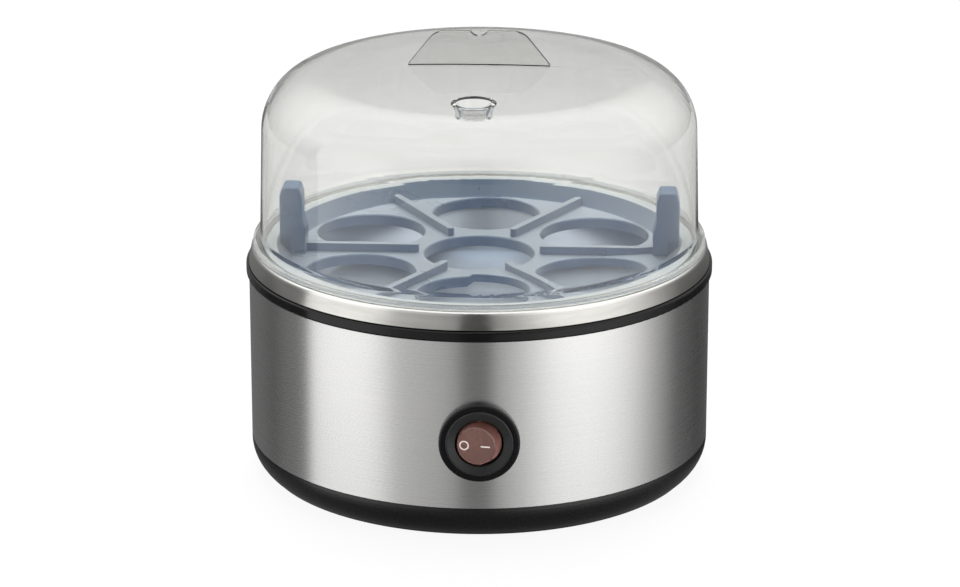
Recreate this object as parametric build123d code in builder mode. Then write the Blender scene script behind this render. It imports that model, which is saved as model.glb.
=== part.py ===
from build123d import *

import os
from math import atan2, cos, pi, radians, sin, tan

os.makedirs("parts", exist_ok=True)

# Millimetres. The origin is on the table under the middle of the body, +Z is up,
# and the switch faces -Y.

# Clearances
fit_gap = 0.1
lift_gap = 0.3
run_gap = 0.05

# Body, from the table up
foot_stand = 1.2
base_height = 11.8
band_height = 61.7
collar_height = 4.2
skirt_height = 6.3

# Eggs, which set how wide everything is
egg_count = 6
egg_hole_radius = 20.05
egg_gap = 5.0
collar_thickness = 1.45
hole_overrun = 1.0

# Body wall
base_undercut = 4.3
band_sheet = 0.5
shell_wall = 2.4

# Base tub
base_recess = 3.0
base_floor = 2.4
rim_width = 4.6
rim_chamfer = 1.0
bead_drop = 1.4
bead_step = 0.25
base_bulge = 1.3
tub_lip = 1.1
tub_corner = 4.0

# Feet
foot_count = 4
foot_inset = 15.7
foot_radius = 6.5
foot_first_angle = 45.0
peg_radius = 2.0
peg_barb_overhang = 0.8
peg_barb_height = 1.2
peg_barb_taper = 20.0

# Housing screws, base to shell
housing_screw_angles = (20.0, 160.0, 200.0, 340.0)
housing_screw_inset = 11.5
screw_radius = 1.5
screw_head_radius = 3.3
screw_head_height = 2.2
tower_wall = 1.9
well_room = 0.4
well_depth = 7.8
boss_wall = 3.3
boss_height = 17.0
boss_web = 3.0
screw_grip = 12.0
screw_tip_room = 2.0
recess_width = 1.1
recess_depth = 1.2

# Shell
spigot_depth = 2.0
spigot_wall = 1.4
shell_ledge = 2.0
rim_ring_height = 16.5

# Collar ring
collar_overhang = 1.0
collar_round = 0.7
collar_groove = 0.4
collar_spigot = 2.4
collar_wall = 1.5
upstand_height = 3.4
upstand_wall = 2.1
collar_screw_count = 3
collar_screw_inset = 3.9
collar_screw_first_angle = 90.0
collar_boss_radius = 4.4
collar_boss_height = 12.0
collar_tab_reach = 4.2
collar_tab_width = 9.0
collar_head_radius = 2.8
collar_head_height = 2.0

# Heating pan
pan_sheet = 0.7
skirt_overhang = 0.1
skirt_taper = 1.4
seat_width = 4.2
ledge_drop = 1.8
ledge_width = 3.8
dish_depth = 24.0
dish_taper = 8.7
pan_seat_round = 1.0
pan_ledge_round = 0.7
pan_skirt_round = 1.3
pan_wall_round = 1.5
pan_floor_round = 5.0

# Egg tray
egg_first_angle = 30.0
tray_turn = -3.0
tray_sheet = 1.8
tray_floor_drop = 5.1
tray_slope_width = 5.2
tray_rim_width = 4.2
tray_rim_height = 1.6
collar_skirt = 4.0
egg_hole_round = 0.7
rib_inner_radius = 22.0
rib_overrun = 1.5
rib_width = 2.6
rib_height = 3.0
lug_height = 25.0
lug_width = 8.4
lug_length = 10.2
lug_wall = 1.6
lug_round = 0.8
lug_shoulder_width = 1.1
lug_shoulder_height = 3.5
lug_foot_width = 1.2
lug_foot_height = 13.5
lug_foot_slope = 4.5
lug_root = 1.0

# Lid
lid_turn = -2.4
lid_wall = 1.5
lip_setback = 0.4
lip_height = 1.4
lip_flare_height = 4.4
lip_round = 0.5
flare_round = 2.5
lip_flare = 2.6
lid_draft = 1.6
lid_height = 65.6
crown_rise = 3.06
crown_flat_radius = 28.7
crown_blend = 0.948
shoulder_radius = 21.3
vent_circle = 46.4
vent_top_radius = 7.1
vent_low_radius = 4.7
vent_depth = 4.8
vent_hole_radius = 4.0
fin_base_half = 25.5
fin_top_half = 15.8
fin_height = 12.2
fin_thickness = 2.4
fin_corner = 7.0
fin_root = 1.2
notch_half_width = 3.1
notch_depth = 1.65

# Heating element and spreader
spreader_margin = 15.0
spreader_thickness = 3.0
element_inset = 13.0
element_radius = 3.3
element_embed = 1.8
element_gap_angle = 22.0
element_bend = 8.0
element_leg = 4.0
insulator_radius = 2.6
insulator_length = 4.0
tab_width = 4.8
tab_thickness = 0.8
pin_length = 9.0

# Pan studs, strap and nuts
stud_clear = 6.0
stud_radius = 2.0
stud_length = 23.0
stud_flange_radius = 3.2
stud_flange = 0.8
strap_drop = 15.0
strap_end_gap = 5.0
strap_width = 14.0
strap_thickness = 1.5
strap_lug_reach = 13.0
strap_lug_width = 16.0
strap_lug_height = 3.0
nut_height = 3.2
nut_radius = 4.0
earth_tag = 0.8
earth_tag_radius = 4.2
earth_tag_length = 12.0
earth_tag_width = 4.4

# Thermostat
cap_radius = 8.5
cap_height = 3.0
cap_lip = 0.6
thermostat_height = 6.5
thermostat_tab_width = 6.3
thermostat_tab_inner = 5.5
thermostat_tab_outer = 17.0
thermostat_tab_rise = 2.0
bracket_thickness = 1.0
bracket_width = 8.0
bracket_screw_clear = 3.0
bracket_foot_reach = 4.5
bracket_head_radius = 2.8
bracket_head_height = 1.8
bracket_screw_depth = 2.0

# Thermal fuse
fuse_clear = 4.0
fuse_radius = 2.0
fuse_half_length = 5.5
fuse_wire_radius = 0.5
fuse_wire_half = 17.0
sleeve_radius = 3.0
sleeve_wall = 0.8
sleeve_half = 14.0
clip_offset = 10.0
clip_width = 6.0
clip_sheet = 0.8
clip_foot = 9.0

# Rocker switch
switch_height = 38.2
surround_rim = 1.75
surround_front = 2.7
surround_round = 0.8
surround_wall = 0.6
surround_back = 3.6
bezel_rim = 2.05
bezel_seat = 1.2
bezel_thickness = 2.0
bezel_lip = 0.7
bezel_funnel = 0.8
bezel_round = 0.4
switch_wall = 1.45
rocker_gap = 0.4
pivot_depth = 3.5
cavity_room = 0.5
switch_floor = 1.5
barb_height = 1.4
barb_length = 4.3
barb_width = 5.0
rocker_throw = 24.0
rocker_side_radius = 8.0
rocker_face_taper = 1.15
rocker_side_rise = 0.6
rocker_face_rise = 5.3
rocker_edge = 0.35
rocker_tail_taper = 1.6
rocker_tail = 5.0
trunnion_radius = 1.5
trunnion_setback = 0.45
mark_depth = 0.25
mark_gap = 0.02
circle_mark_inset = 2.55
circle_mark_radius = 1.75
mark_stroke = 0.5
dash_mark_inset = 3.6
dash_mark_length = 3.3
lamp_inset = 3.05
lamp_rise = 1.9
lamp_radius = 1.3
lamp_length = 7.2
lamp_pocket_width = 3.0
lamp_pocket_length = 7.8
lamp_pocket_rise = 3.6
plunger_radius = 1.5
plunger_bore_gap = 0.1
plunger_head = 2.0
plunger_tip = 9.6
spring_room = 4.0
spring_radius = 1.15
spring_wire = 0.2
spring_pitch = 0.8
blade_reach = 0.4
blade_tilt = 8.0
blade_end_gap = 1.4
blade_width = 5.0
blade_thickness = 0.6
blade_play = 0.15
switch_tab_pitch = 6.0
switch_tab_end = 22.0
contact_gap = 0.3
contact_radius = 1.4
lamp_tab_setback = 0.55

# Cord gland
gland_height = 26.0
gland_bore = 3.6
gland_tip_wall = 2.8
gland_head = 6.3
gland_neck_wall = 2.3
gland_head_lip = 2.1
gland_flange_lip = 1.7
gland_flange_start = 3.6
gland_flange = 2.4
gland_edge = 0.8

# Terminal block
block_setback = 32.0
block_length = 30.0
block_depth = 14.0
block_height = 13.0
block_pitch = 9.0
block_bore = 1.6
block_screw_radius = 2.0
block_screw_well = 4.5
block_screw_height = 2.5
block_slot = 0.7

# Leads
lead_radius = 1.2
twin_lead_offset = 1.4
bend_share = 0.45
lead_stub = 9.0
lead_floor_gap = 3.9

# Levels
tub_floor_low = foot_stand + base_recess
tub_floor_top = tub_floor_low + base_floor
band_bottom = foot_stand + base_height
band_top = band_bottom + band_height
skirt_bottom = band_top + collar_height
seat_level = skirt_bottom + skirt_height
ledge_level = seat_level - ledge_drop
dish_floor = seat_level - dish_depth
pan_underside = dish_floor - pan_sheet
spreader_underside = pan_underside - spreader_thickness
element_level = spreader_underside + element_embed - element_radius
element_leg_end = element_level - element_bend - element_leg
strap_top = pan_underside - strap_drop
strap_underside = strap_top - strap_thickness
shell_top = band_top - rim_ring_height
tray_seat = ledge_level + lift_gap
tray_rim_top = tray_seat + tray_rim_height
tray_floor_top = tray_rim_top - tray_floor_drop
tray_floor_low = tray_floor_top - tray_sheet
lid_bottom = seat_level + lift_gap
lid_top = lid_bottom + lid_height
fin_top = lid_top + fin_height
cap_bottom = spreader_underside - cap_height
thermostat_bottom = cap_bottom - thermostat_height
fuse_level = spreader_underside - fit_gap - sleeve_radius
rocker_turn = -rocker_throw / 2

# Radii that follow from the eggs, outwards
egg_pitch = egg_hole_radius + collar_thickness
egg_circle = 2 * egg_pitch + egg_gap
tray_floor_radius = egg_circle + egg_pitch - hole_overrun
tray_rim_radius = tray_floor_radius + tray_slope_width + tray_rim_width
seat_inner_radius = tray_rim_radius + 2 * lift_gap
skirt_top_radius = seat_inner_radius + seat_width
skirt_low_radius = skirt_top_radius + skirt_taper
body_radius = skirt_low_radius - skirt_overhang
collar_radius = body_radius + collar_overhang

# Radii that follow from those, inwards
shell_outer_radius = body_radius - band_sheet - fit_gap
shell_inner_radius = shell_outer_radius - shell_wall
base_foot_radius = body_radius - base_undercut
foot_circle = base_foot_radius - foot_inset
housing_screw_circle = shell_inner_radius - housing_screw_inset
upstand_outer_radius = skirt_top_radius - pan_sheet - lift_gap
upstand_inner_radius = upstand_outer_radius - upstand_wall
tub_inner_radius = shell_inner_radius - tub_lip
spigot_outer_radius = tub_inner_radius - fit_gap
rim_spigot_radius = shell_inner_radius - fit_gap
collar_spigot_radius = shell_inner_radius - fit_gap
collar_screw_circle = collar_spigot_radius - collar_screw_inset
ledge_outer_radius = seat_inner_radius - fit_gap
dish_top_radius = seat_inner_radius - ledge_width
dish_floor_radius = dish_top_radius - dish_taper
spreader_radius = dish_floor_radius - spreader_margin
element_circle = spreader_radius - element_inset
stud_offset = spreader_radius + stud_clear
strap_half_length = shell_inner_radius - strap_end_gap
rib_outer_radius = tray_floor_radius + rib_overrun
lip_radius = skirt_top_radius - lip_setback
lid_low_radius = lip_radius - lip_flare
lid_high_radius = lid_low_radius - lid_draft
crown_slope = atan2(crown_rise, lid_high_radius - crown_flat_radius)
crown_round = crown_blend * crown_flat_radius / tan(crown_slope / 2)
peg_barb_radius = peg_radius + peg_barb_overhang
pilot_radius = screw_radius + run_gap
screw_hole_radius = screw_radius + 2 * fit_gap
well_radius = screw_head_radius + well_room
tower_radius = well_radius + tower_wall
boss_radius = screw_radius + boss_wall
thermostat_radius = cap_radius - cap_lip
hat_outer = cap_radius + 2 * fit_gap
bracket_screw_offset = hat_outer + bracket_thickness + bracket_head_radius + bracket_screw_clear
bracket_foot = bracket_screw_offset + bracket_foot_reach
fuse_offset = -bracket_foot - fuse_clear

# Switch sizes that follow from the rocker
switch_bore = rocker_side_radius + rocker_gap
switch_body_radius = switch_bore + switch_wall
bezel_radius = switch_body_radius + bezel_rim
surround_hole = bezel_radius + surround_wall
surround_radius = surround_hole + surround_rim
rocker_face_radius = rocker_side_radius - rocker_face_taper
rocker_tail_radius = rocker_side_radius - rocker_tail_taper
trunnion_reach = switch_body_radius - trunnion_setback
circle_mark_offset = circle_mark_inset - rocker_face_radius
dash_mark_offset = rocker_face_radius - dash_mark_inset
lamp_offset = rocker_face_radius - lamp_inset
blade_depth = plunger_tip + blade_reach
blade_length = 2 * (switch_bore - blade_end_gap)
blade_lean = switch_tab_pitch * tan(radians(blade_tilt))
contact_depth = blade_depth + blade_lean + blade_thickness / 2 + contact_gap
lamp_tab_depth = contact_depth + lamp_tab_setback
cavity_depth = lamp_tab_depth + cavity_room

# Gland and terminal block
gland_tip_radius = gland_bore + gland_tip_wall
gland_neck = gland_bore + gland_neck_wall
gland_head_radius = gland_neck + gland_head_lip
gland_flange_radius = gland_neck + gland_flange_lip
block_centre = body_radius - block_setback

# Planes and axes
switch_origin = (0, -body_radius, switch_height)
switch_section = Plane(origin=switch_origin, x_dir=(1, 0, 0), z_dir=(0, 0, -1))
switch_axis = Axis(origin=switch_origin, direction=(0, -1, 0))
bezel_front = bezel_seat + bezel_thickness
pivot_out = bezel_front - pivot_depth
pivot_y = -body_radius - pivot_out
turn = radians(rocker_turn)
rocker_origin = (0, pivot_y, switch_height)
rocker_across = (cos(turn), sin(turn), 0)
rocker_out = (sin(turn), -cos(turn), 0)
rocker_face_plane = Plane(origin=rocker_origin, x_dir=rocker_across, z_dir=rocker_out)
rocker_section = Plane(origin=rocker_origin, x_dir=rocker_across, z_dir=(0, 0, -1))
rocker_axis = Axis(origin=rocker_origin, direction=rocker_out)
blade_y = pivot_y + blade_depth
gland_origin = (0, body_radius, gland_height)
gland_section = Plane(origin=gland_origin, x_dir=(1, 0, 0), z_dir=(0, 0, 1))
gland_axis = Axis(origin=gland_origin, direction=(0, 1, 0))
lid_angle = radians(lid_turn)
fin_across = (cos(lid_angle), sin(lid_angle), 0)
fin_normal = (sin(lid_angle), -cos(lid_angle), 0)
fin_plane = Plane(origin=(0, 0, 0), x_dir=fin_across, z_dir=fin_normal)


def save(builder, name):
    builder.part.label = name
    export_step(builder.part, "parts/" + name + ".step")


def polar(radius, angle, height=0.0):
    return (radius * cos(radians(angle)), radius * sin(radians(angle)), height)


# Base tub: rounded outside, a recessed underside, screw towers and peg holes
with BuildPart() as base_tub:
    with BuildSketch(Plane.XZ):
        with BuildLine():
            rim_inner = base_foot_radius - rim_width
            side_low = (base_foot_radius, foot_stand + rim_chamfer)
            side_high = (body_radius, band_bottom - bead_drop)
            side_middle = ((side_low[0] + side_high[0]) / 2 + base_bulge, (side_low[1] + side_high[1]) / 2)
            bead_end = (body_radius - bead_step, band_bottom)
            Polyline((0, tub_floor_low), (rim_inner, tub_floor_low), (rim_inner, foot_stand),
                     (base_foot_radius - rim_chamfer, foot_stand), side_low)
            ThreePointArc(side_low, side_middle, side_high)
            Line(side_high, bead_end)
            Polyline(bead_end, (tub_inner_radius, band_bottom),
                     (tub_inner_radius, tub_floor_top + tub_corner),
                     (tub_inner_radius - tub_corner, tub_floor_top), (0, tub_floor_top), (0, tub_floor_low))
        make_face()
    revolve(axis=Axis.Z)
    with BuildSketch(Plane.XY.offset(tub_floor_low)):
        for angle in housing_screw_angles:
            with Locations(polar(housing_screw_circle, angle)):
                Circle(tower_radius)
    extrude(amount=band_bottom - tub_floor_low)
    with BuildSketch(Plane.XY.offset(foot_stand)):
        for angle in housing_screw_angles:
            with Locations(polar(housing_screw_circle, angle)):
                Circle(well_radius)
    extrude(amount=well_depth, mode=Mode.SUBTRACT)
    with BuildSketch(Plane.XY.offset(foot_stand)):
        for angle in housing_screw_angles:
            with Locations(polar(housing_screw_circle, angle)):
                Circle(screw_hole_radius)
    extrude(amount=base_height, mode=Mode.SUBTRACT)
    with BuildSketch(Plane.XY.offset(tub_floor_low)):
        with PolarLocations(foot_circle, foot_count, start_angle=foot_first_angle):
            Circle(peg_radius + fit_gap)
    extrude(amount=base_floor, mode=Mode.SUBTRACT)
save(base_tub, "base_tub")

# Push-in feet, each with a barbed peg through the floor
with BuildPart() as rubber_feet:
    with BuildSketch(Plane.XY):
        with PolarLocations(foot_circle, foot_count, start_angle=foot_first_angle):
            Circle(foot_radius)
    extrude(amount=tub_floor_low)
    fillet(rubber_feet.edges().group_by(Axis.Z)[0], radius=rim_chamfer)
    with BuildSketch(Plane.XY.offset(tub_floor_low)):
        with PolarLocations(foot_circle, foot_count, start_angle=foot_first_angle):
            Circle(peg_radius)
    extrude(amount=base_floor + fit_gap)
    with BuildSketch(Plane.XY.offset(tub_floor_top + fit_gap)):
        with PolarLocations(foot_circle, foot_count, start_angle=foot_first_angle):
            Circle(peg_barb_radius)
    extrude(amount=peg_barb_height, taper=peg_barb_taper)
save(rubber_feet, "rubber_feet")

# Lower shell behind the steel band, with screw bosses, strap lugs and holes for switch and gland
with BuildPart() as body_shell:
    with BuildSketch(Plane.XZ):
        with BuildLine():
            spigot_inner = spigot_outer_radius - spigot_wall
            Polyline((shell_outer_radius, band_bottom), (shell_outer_radius, shell_top),
                     (shell_inner_radius, shell_top), (shell_inner_radius, band_bottom + shell_ledge),
                     (spigot_inner, band_bottom + shell_ledge), (spigot_inner, band_bottom - spigot_depth),
                     (spigot_outer_radius, band_bottom - spigot_depth), (spigot_outer_radius, band_bottom),
                     close=True)
        make_face()
    revolve(axis=Axis.Z)
    web_reach = shell_inner_radius + fit_gap - housing_screw_circle
    with BuildSketch(Plane.XY.offset(band_bottom)):
        for angle in housing_screw_angles:
            with Locations(polar(housing_screw_circle, angle)):
                Circle(boss_radius)
            with Locations(Location(polar(housing_screw_circle + web_reach / 2, angle), (0, 0, angle))):
                Rectangle(web_reach + fit_gap, boss_web)
    extrude(amount=boss_height)
    with BuildSketch(Plane.XY.offset(band_bottom)):
        for angle in housing_screw_angles:
            with Locations(polar(housing_screw_circle, angle)):
                Circle(pilot_radius)
    extrude(amount=screw_grip + screw_tip_room, mode=Mode.SUBTRACT)
    with BuildSketch(Plane.XY.offset(strap_top)):
        with PolarLocations(shell_inner_radius + fit_gap - strap_lug_reach / 2, 2):
            Rectangle(strap_lug_reach, strap_lug_width)
    extrude(amount=strap_lug_height)
    with BuildSketch(Plane(origin=switch_origin, x_dir=(1, 0, 0), z_dir=(0, -1, 0))):
        Circle(surround_hole)
    extrude(amount=body_radius - shell_inner_radius + surround_back, both=True, mode=Mode.SUBTRACT)
    with BuildSketch(Plane(origin=gland_origin, x_dir=(-1, 0, 0), z_dir=(0, 1, 0))):
        Circle(gland_neck + fit_gap)
    extrude(amount=body_radius - shell_inner_radius + surround_back, both=True, mode=Mode.SUBTRACT)
save(body_shell, "body_shell")

# Ring on top of the lower shell, plugged into it, with the bosses for the collar screws
with BuildPart() as shell_rim:
    with BuildSketch(Plane.XZ):
        with BuildLine():
            rim_spigot_inner = rim_spigot_radius - spigot_wall
            rim_low = shell_top + fit_gap
            Polyline((shell_outer_radius, rim_low), (shell_outer_radius, band_top),
                     (shell_inner_radius, band_top), (shell_inner_radius, shell_top + shell_ledge),
                     (rim_spigot_inner, shell_top + shell_ledge), (rim_spigot_inner, shell_top - spigot_depth),
                     (rim_spigot_radius, shell_top - spigot_depth), (rim_spigot_radius, rim_low),
                     close=True)
        make_face()
    revolve(axis=Axis.Z)
    with BuildSketch(Plane.XY.offset(band_top - collar_spigot)):
        with PolarLocations(collar_screw_circle, collar_screw_count, start_angle=collar_screw_first_angle):
            Circle(collar_boss_radius)
    extrude(amount=-collar_boss_height)
    with BuildSketch(Plane.XY.offset(band_top - collar_spigot)):
        with PolarLocations(collar_screw_circle, collar_screw_count, start_angle=collar_screw_first_angle):
            Circle(pilot_radius)
    extrude(amount=-(collar_boss_height - screw_tip_room), mode=Mode.SUBTRACT)
save(shell_rim, "shell_rim")

# Brushed steel sleeve
with BuildPart() as steel_band:
    with BuildSketch(Plane.XY.offset(band_bottom)):
        Circle(body_radius)
        Circle(body_radius - band_sheet, mode=Mode.SUBTRACT)
    extrude(amount=band_height)
    with BuildSketch(Plane(origin=switch_origin, x_dir=(1, 0, 0), z_dir=(0, -1, 0))):
        Circle(surround_hole)
    extrude(amount=surround_back, both=True, mode=Mode.SUBTRACT)
    with BuildSketch(Plane(origin=gland_origin, x_dir=(-1, 0, 0), z_dir=(0, 1, 0))):
        Circle(gland_neck + fit_gap)
    extrude(amount=surround_back, both=True, mode=Mode.SUBTRACT)
save(steel_band, "steel_band")

# Housing screws, driven up from below
head_top = foot_stand + well_depth
with BuildPart() as housing_screws:
    for angle in housing_screw_angles:
        with BuildSketch(Plane.XY.offset(head_top - screw_head_height)):
            with Locations(polar(housing_screw_circle, angle)):
                Circle(screw_head_radius)
        extrude(amount=screw_head_height)
        with BuildSketch(Plane.XY.offset(head_top)):
            with Locations(polar(housing_screw_circle, angle)):
                Circle(screw_radius)
        extrude(amount=band_bottom - head_top + screw_grip)
        with BuildSketch(Plane.XY.offset(head_top - screw_head_height)):
            with Locations(polar(housing_screw_circle, angle)):
                Rectangle(2 * screw_radius, recess_width)
                Rectangle(recess_width, 2 * screw_radius)
        extrude(amount=recess_depth, mode=Mode.SUBTRACT)
save(housing_screws, "housing_screws")

# Collar ring that covers the band's top edge and carries the pan
with BuildPart() as collar_ring:
    with BuildSketch(Plane.XZ):
        with BuildLine():
            collar_top = skirt_bottom - collar_groove
            spigot_bottom = band_top - collar_spigot
            upstand_top = band_top + collar_height + upstand_height - collar_groove
            low_corner = (collar_radius, band_top + collar_round)
            top_corner = (collar_radius, collar_top - collar_round)
            Polyline((collar_radius - collar_round, band_top), (collar_spigot_radius, band_top),
                     (collar_spigot_radius, spigot_bottom),
                     (collar_spigot_radius - collar_wall, spigot_bottom),
                     (upstand_inner_radius, upstand_top), (upstand_outer_radius, upstand_top),
                     (upstand_outer_radius, collar_top), (collar_radius - collar_round, collar_top))
            RadiusArc((collar_radius - collar_round, collar_top), top_corner, collar_round)
            Line(top_corner, low_corner)
            RadiusArc(low_corner, (collar_radius - collar_round, band_top), collar_round)
        make_face()
    revolve(axis=Axis.Z)
    tab_outer = collar_spigot_radius - collar_wall / 2
    tab_length = collar_tab_reach + tab_outer - collar_screw_circle
    tab_middle = tab_outer - tab_length / 2
    with BuildSketch(Plane.XY.offset(band_top - collar_spigot)):
        with PolarLocations(tab_middle, collar_screw_count, start_angle=collar_screw_first_angle):
            Rectangle(tab_length, collar_tab_width)
    extrude(amount=collar_spigot)
    with BuildSketch(Plane.XY.offset(band_top - collar_spigot)):
        with PolarLocations(collar_screw_circle, collar_screw_count, start_angle=collar_screw_first_angle):
            Circle(screw_hole_radius)
    extrude(amount=collar_spigot, mode=Mode.SUBTRACT)
    with BuildSketch(Plane.XY.offset(band_top)):
        with PolarLocations(collar_screw_circle, collar_screw_count, start_angle=collar_screw_first_angle):
            Circle(collar_head_radius + fit_gap)
    extrude(amount=upstand_height + collar_height, mode=Mode.SUBTRACT)
save(collar_ring, "collar_ring")

# Collar screws, driven down through the tabs
with BuildPart() as collar_screws:
    with BuildSketch(Plane.XY.offset(band_top)):
        with PolarLocations(collar_screw_circle, collar_screw_count, start_angle=collar_screw_first_angle):
            Circle(collar_head_radius)
    extrude(amount=collar_head_height)
    with BuildSketch(Plane.XY.offset(band_top)):
        with PolarLocations(collar_screw_circle, collar_screw_count, start_angle=collar_screw_first_angle):
            Circle(screw_radius)
    extrude(amount=-(collar_boss_height - 2 * screw_tip_room + collar_spigot))
    with BuildSketch(Plane.XY.offset(band_top + collar_head_height)):
        with PolarLocations(collar_screw_circle, collar_screw_count, start_angle=collar_screw_first_angle):
            Rectangle(2 * screw_radius, recess_width)
            Rectangle(recess_width, 2 * screw_radius)
    extrude(amount=-recess_depth, mode=Mode.SUBTRACT)
save(collar_screws, "collar_screws")

# Silicone ring between the collar's upstand and the pan
with BuildPart() as pan_seal:
    with BuildSketch(Plane.XY.offset(upstand_top)):
        Circle(upstand_outer_radius - fit_gap)
        Circle(upstand_inner_radius + fit_gap, mode=Mode.SUBTRACT)
    extrude(amount=seat_level - pan_sheet - upstand_top)
save(pan_seal, "pan_seal")

# Pressed steel pan: outer skirt, lid seat, tray ledge and water dish
with BuildPart() as heating_pan:
    with BuildSketch(Plane.XZ):
        with BuildLine():
            pan_top_line = FilletPolyline(
                (skirt_low_radius, skirt_bottom), (skirt_top_radius, seat_level),
                (seat_inner_radius, seat_level), (ledge_outer_radius, ledge_level),
                (dish_top_radius, ledge_level), (dish_floor_radius, dish_floor), (0, dish_floor),
                radius=(pan_skirt_round, pan_seat_round, pan_ledge_round, pan_wall_round, pan_floor_round))
            offset(pan_top_line, amount=pan_sheet, side=Side.LEFT)
        make_face()
    revolve(axis=Axis.Z)
save(heating_pan, "heating_pan")

# Lifting lug: a closed block with sloped shoulders and a wider foot, cored out from below
tray_slope_rise = tray_rim_top - tray_floor_top
tray_angle = atan2(tray_slope_rise, tray_slope_width)
lug_top = tray_floor_top + lug_height
lug_bottom = tray_floor_top - lug_root
slope_end = lug_bottom + lug_width / 2 * tan(tray_angle)
foot_top = tray_floor_top + lug_foot_height
with BuildPart() as lug:
    with BuildSketch(Plane.XZ):
        with BuildLine():
            FilletPolyline((0, lug_bottom), (-lug_width / 2 - lug_foot_width, lug_bottom),
                           (-lug_width / 2 - lug_foot_width, foot_top - lug_foot_slope),
                           (-lug_width / 2, foot_top), (-lug_width / 2, lug_top - lug_shoulder_height),
                           (-lug_width / 2 + lug_shoulder_width, lug_top),
                           (lug_width / 2 - lug_shoulder_width, lug_top),
                           (lug_width / 2, lug_top - lug_shoulder_height), (lug_width / 2, slope_end),
                           radius=(0, lug_wall, lug_wall, lug_wall, lug_wall, lug_wall, lug_wall))
            Line((lug_width / 2, slope_end), (0, lug_bottom))
        make_face()
    extrude(amount=lug_length / 2, both=True)
    fillet(lug.edges().filter_by(Axis.Z), radius=lug_round)
with BuildPart() as lug_core:
    with BuildSketch(Plane.XY.offset(tray_floor_top - collar_skirt)):
        Rectangle(lug_width - 2 * lug_wall, lug_length - 2 * lug_wall)
    extrude(amount=collar_skirt + lug_height - lug_wall)

# Egg tray: dished plate on a rim, seven collared holes, radial ribs and two lifting lugs
tray_shift = tray_sheet * tan(tray_angle / 2)
rim_underside_shift = tray_sheet / sin(tray_angle) - tray_rim_height / tan(tray_angle)
with BuildPart() as egg_tray:
    with BuildSketch(Plane.XZ):
        with BuildLine():
            Polyline((0, tray_floor_low), (tray_floor_radius + tray_shift, tray_floor_low),
                     (tray_floor_radius + tray_slope_width + rim_underside_shift, tray_seat),
                     (tray_rim_radius, tray_seat), (tray_rim_radius, tray_rim_top),
                     (tray_rim_radius - tray_rim_width, tray_rim_top),
                     (tray_floor_radius, tray_floor_top), (0, tray_floor_top), (0, tray_floor_low))
        make_face()
    revolve(axis=Axis.Z)
    with BuildSketch(Plane.XY.offset(tray_floor_top - collar_skirt)):
        Circle(egg_hole_radius + collar_thickness)
        with PolarLocations(egg_circle, egg_count, start_angle=egg_first_angle + tray_turn):
            Circle(egg_hole_radius + collar_thickness)
    extrude(amount=collar_skirt - tray_sheet / 2)
    with BuildSketch(Plane.XY.offset(tray_floor_top)):
        rib_length = rib_outer_radius - rib_inner_radius
        with PolarLocations(rib_inner_radius + rib_length / 2, egg_count, start_angle=tray_turn):
            SlotOverall(rib_length, rib_width)
    extrude(amount=rib_height)
    with PolarLocations(tray_floor_radius, 2, start_angle=tray_turn):
        add(lug.part)
        add(lug_core.part, mode=Mode.SUBTRACT)
    with BuildSketch(Plane.XY.offset(tray_floor_top - collar_skirt)):
        Circle(egg_hole_radius)
        with PolarLocations(egg_circle, egg_count, start_angle=egg_first_angle + tray_turn):
            Circle(egg_hole_radius)
    extrude(amount=collar_skirt, mode=Mode.SUBTRACT)
    circles = egg_tray.edges().filter_by(GeomType.CIRCLE)
    hole_circles = circles.filter_by(lambda edge: abs(edge.radius - egg_hole_radius) < fit_gap)
    fillet(hole_circles.filter_by(lambda edge: abs(edge.center().Z - tray_floor_top) < fit_gap),
           radius=egg_hole_round)
save(egg_tray, "egg_tray")


def lid_outline(inset):
    """Profile of the lid from its lip to its centre, moved inwards by the inset."""
    return FilletPolyline(
        (lip_radius - inset, lid_bottom), (lip_radius - inset, lid_bottom + lip_height),
        (lid_low_radius - inset, lid_bottom + lip_flare_height),
        (lid_high_radius - inset, lid_top - crown_rise - inset),
        (crown_flat_radius, lid_top - inset), (0, lid_top - inset),
        radius=(lip_round, flare_round, shoulder_radius - inset, crown_round))


# Clear lid: domed shell with a flared lip, a vent funnel and a grip fin
with BuildPart() as lid:
    with BuildSketch(Plane.XZ):
        with BuildLine():
            lid_outline(0)
            Polyline((0, lid_top), (0, lid_bottom), (lip_radius, lid_bottom))
        make_face()
    revolve(axis=Axis.Z)
    with BuildSketch(fin_plane):
        with BuildLine():
            notch_low = (0, fin_top - notch_depth)
            FilletPolyline((-notch_half_width, fin_top), (-fin_top_half, fin_top),
                           (-fin_base_half, lid_top), (-fin_base_half, lid_top - fin_root),
                           (fin_base_half, lid_top - fin_root), (fin_base_half, lid_top),
                           (fin_top_half, fin_top), (notch_half_width, fin_top),
                           radius=(fin_corner, 0, 0, 0, 0, fin_corner))
            ThreePointArc((notch_half_width, fin_top), notch_low, (-notch_half_width, fin_top))
        make_face()
    extrude(amount=fin_thickness / 2, both=True)
    with BuildSketch(Plane.XZ):
        with BuildLine():
            lid_outline(lid_wall)
            Polyline((0, lid_top - lid_wall), (0, lid_bottom), (lip_radius - lid_wall, lid_bottom))
        make_face()
    revolve(axis=Axis.Z, mode=Mode.SUBTRACT)
    vent_x, vent_y, vent_z = polar(vent_circle, lid_turn - 90, lid_top)
    funnel_radius = vent_top_radius + lid_wall
    hang = (Align.CENTER, Align.CENTER, Align.MAX)
    with Locations((vent_x, vent_y, vent_z - lid_wall)):
        Cone(vent_low_radius + lid_wall, funnel_radius, vent_depth, align=hang)
    with Locations((vent_x, vent_y, vent_z)):
        Cone(vent_low_radius, vent_top_radius, vent_depth, align=hang, mode=Mode.SUBTRACT)
    with Locations((vent_x, vent_y, vent_z)):
        Cylinder(vent_hole_radius, 2 * (vent_depth + lid_wall), mode=Mode.SUBTRACT)
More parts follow.
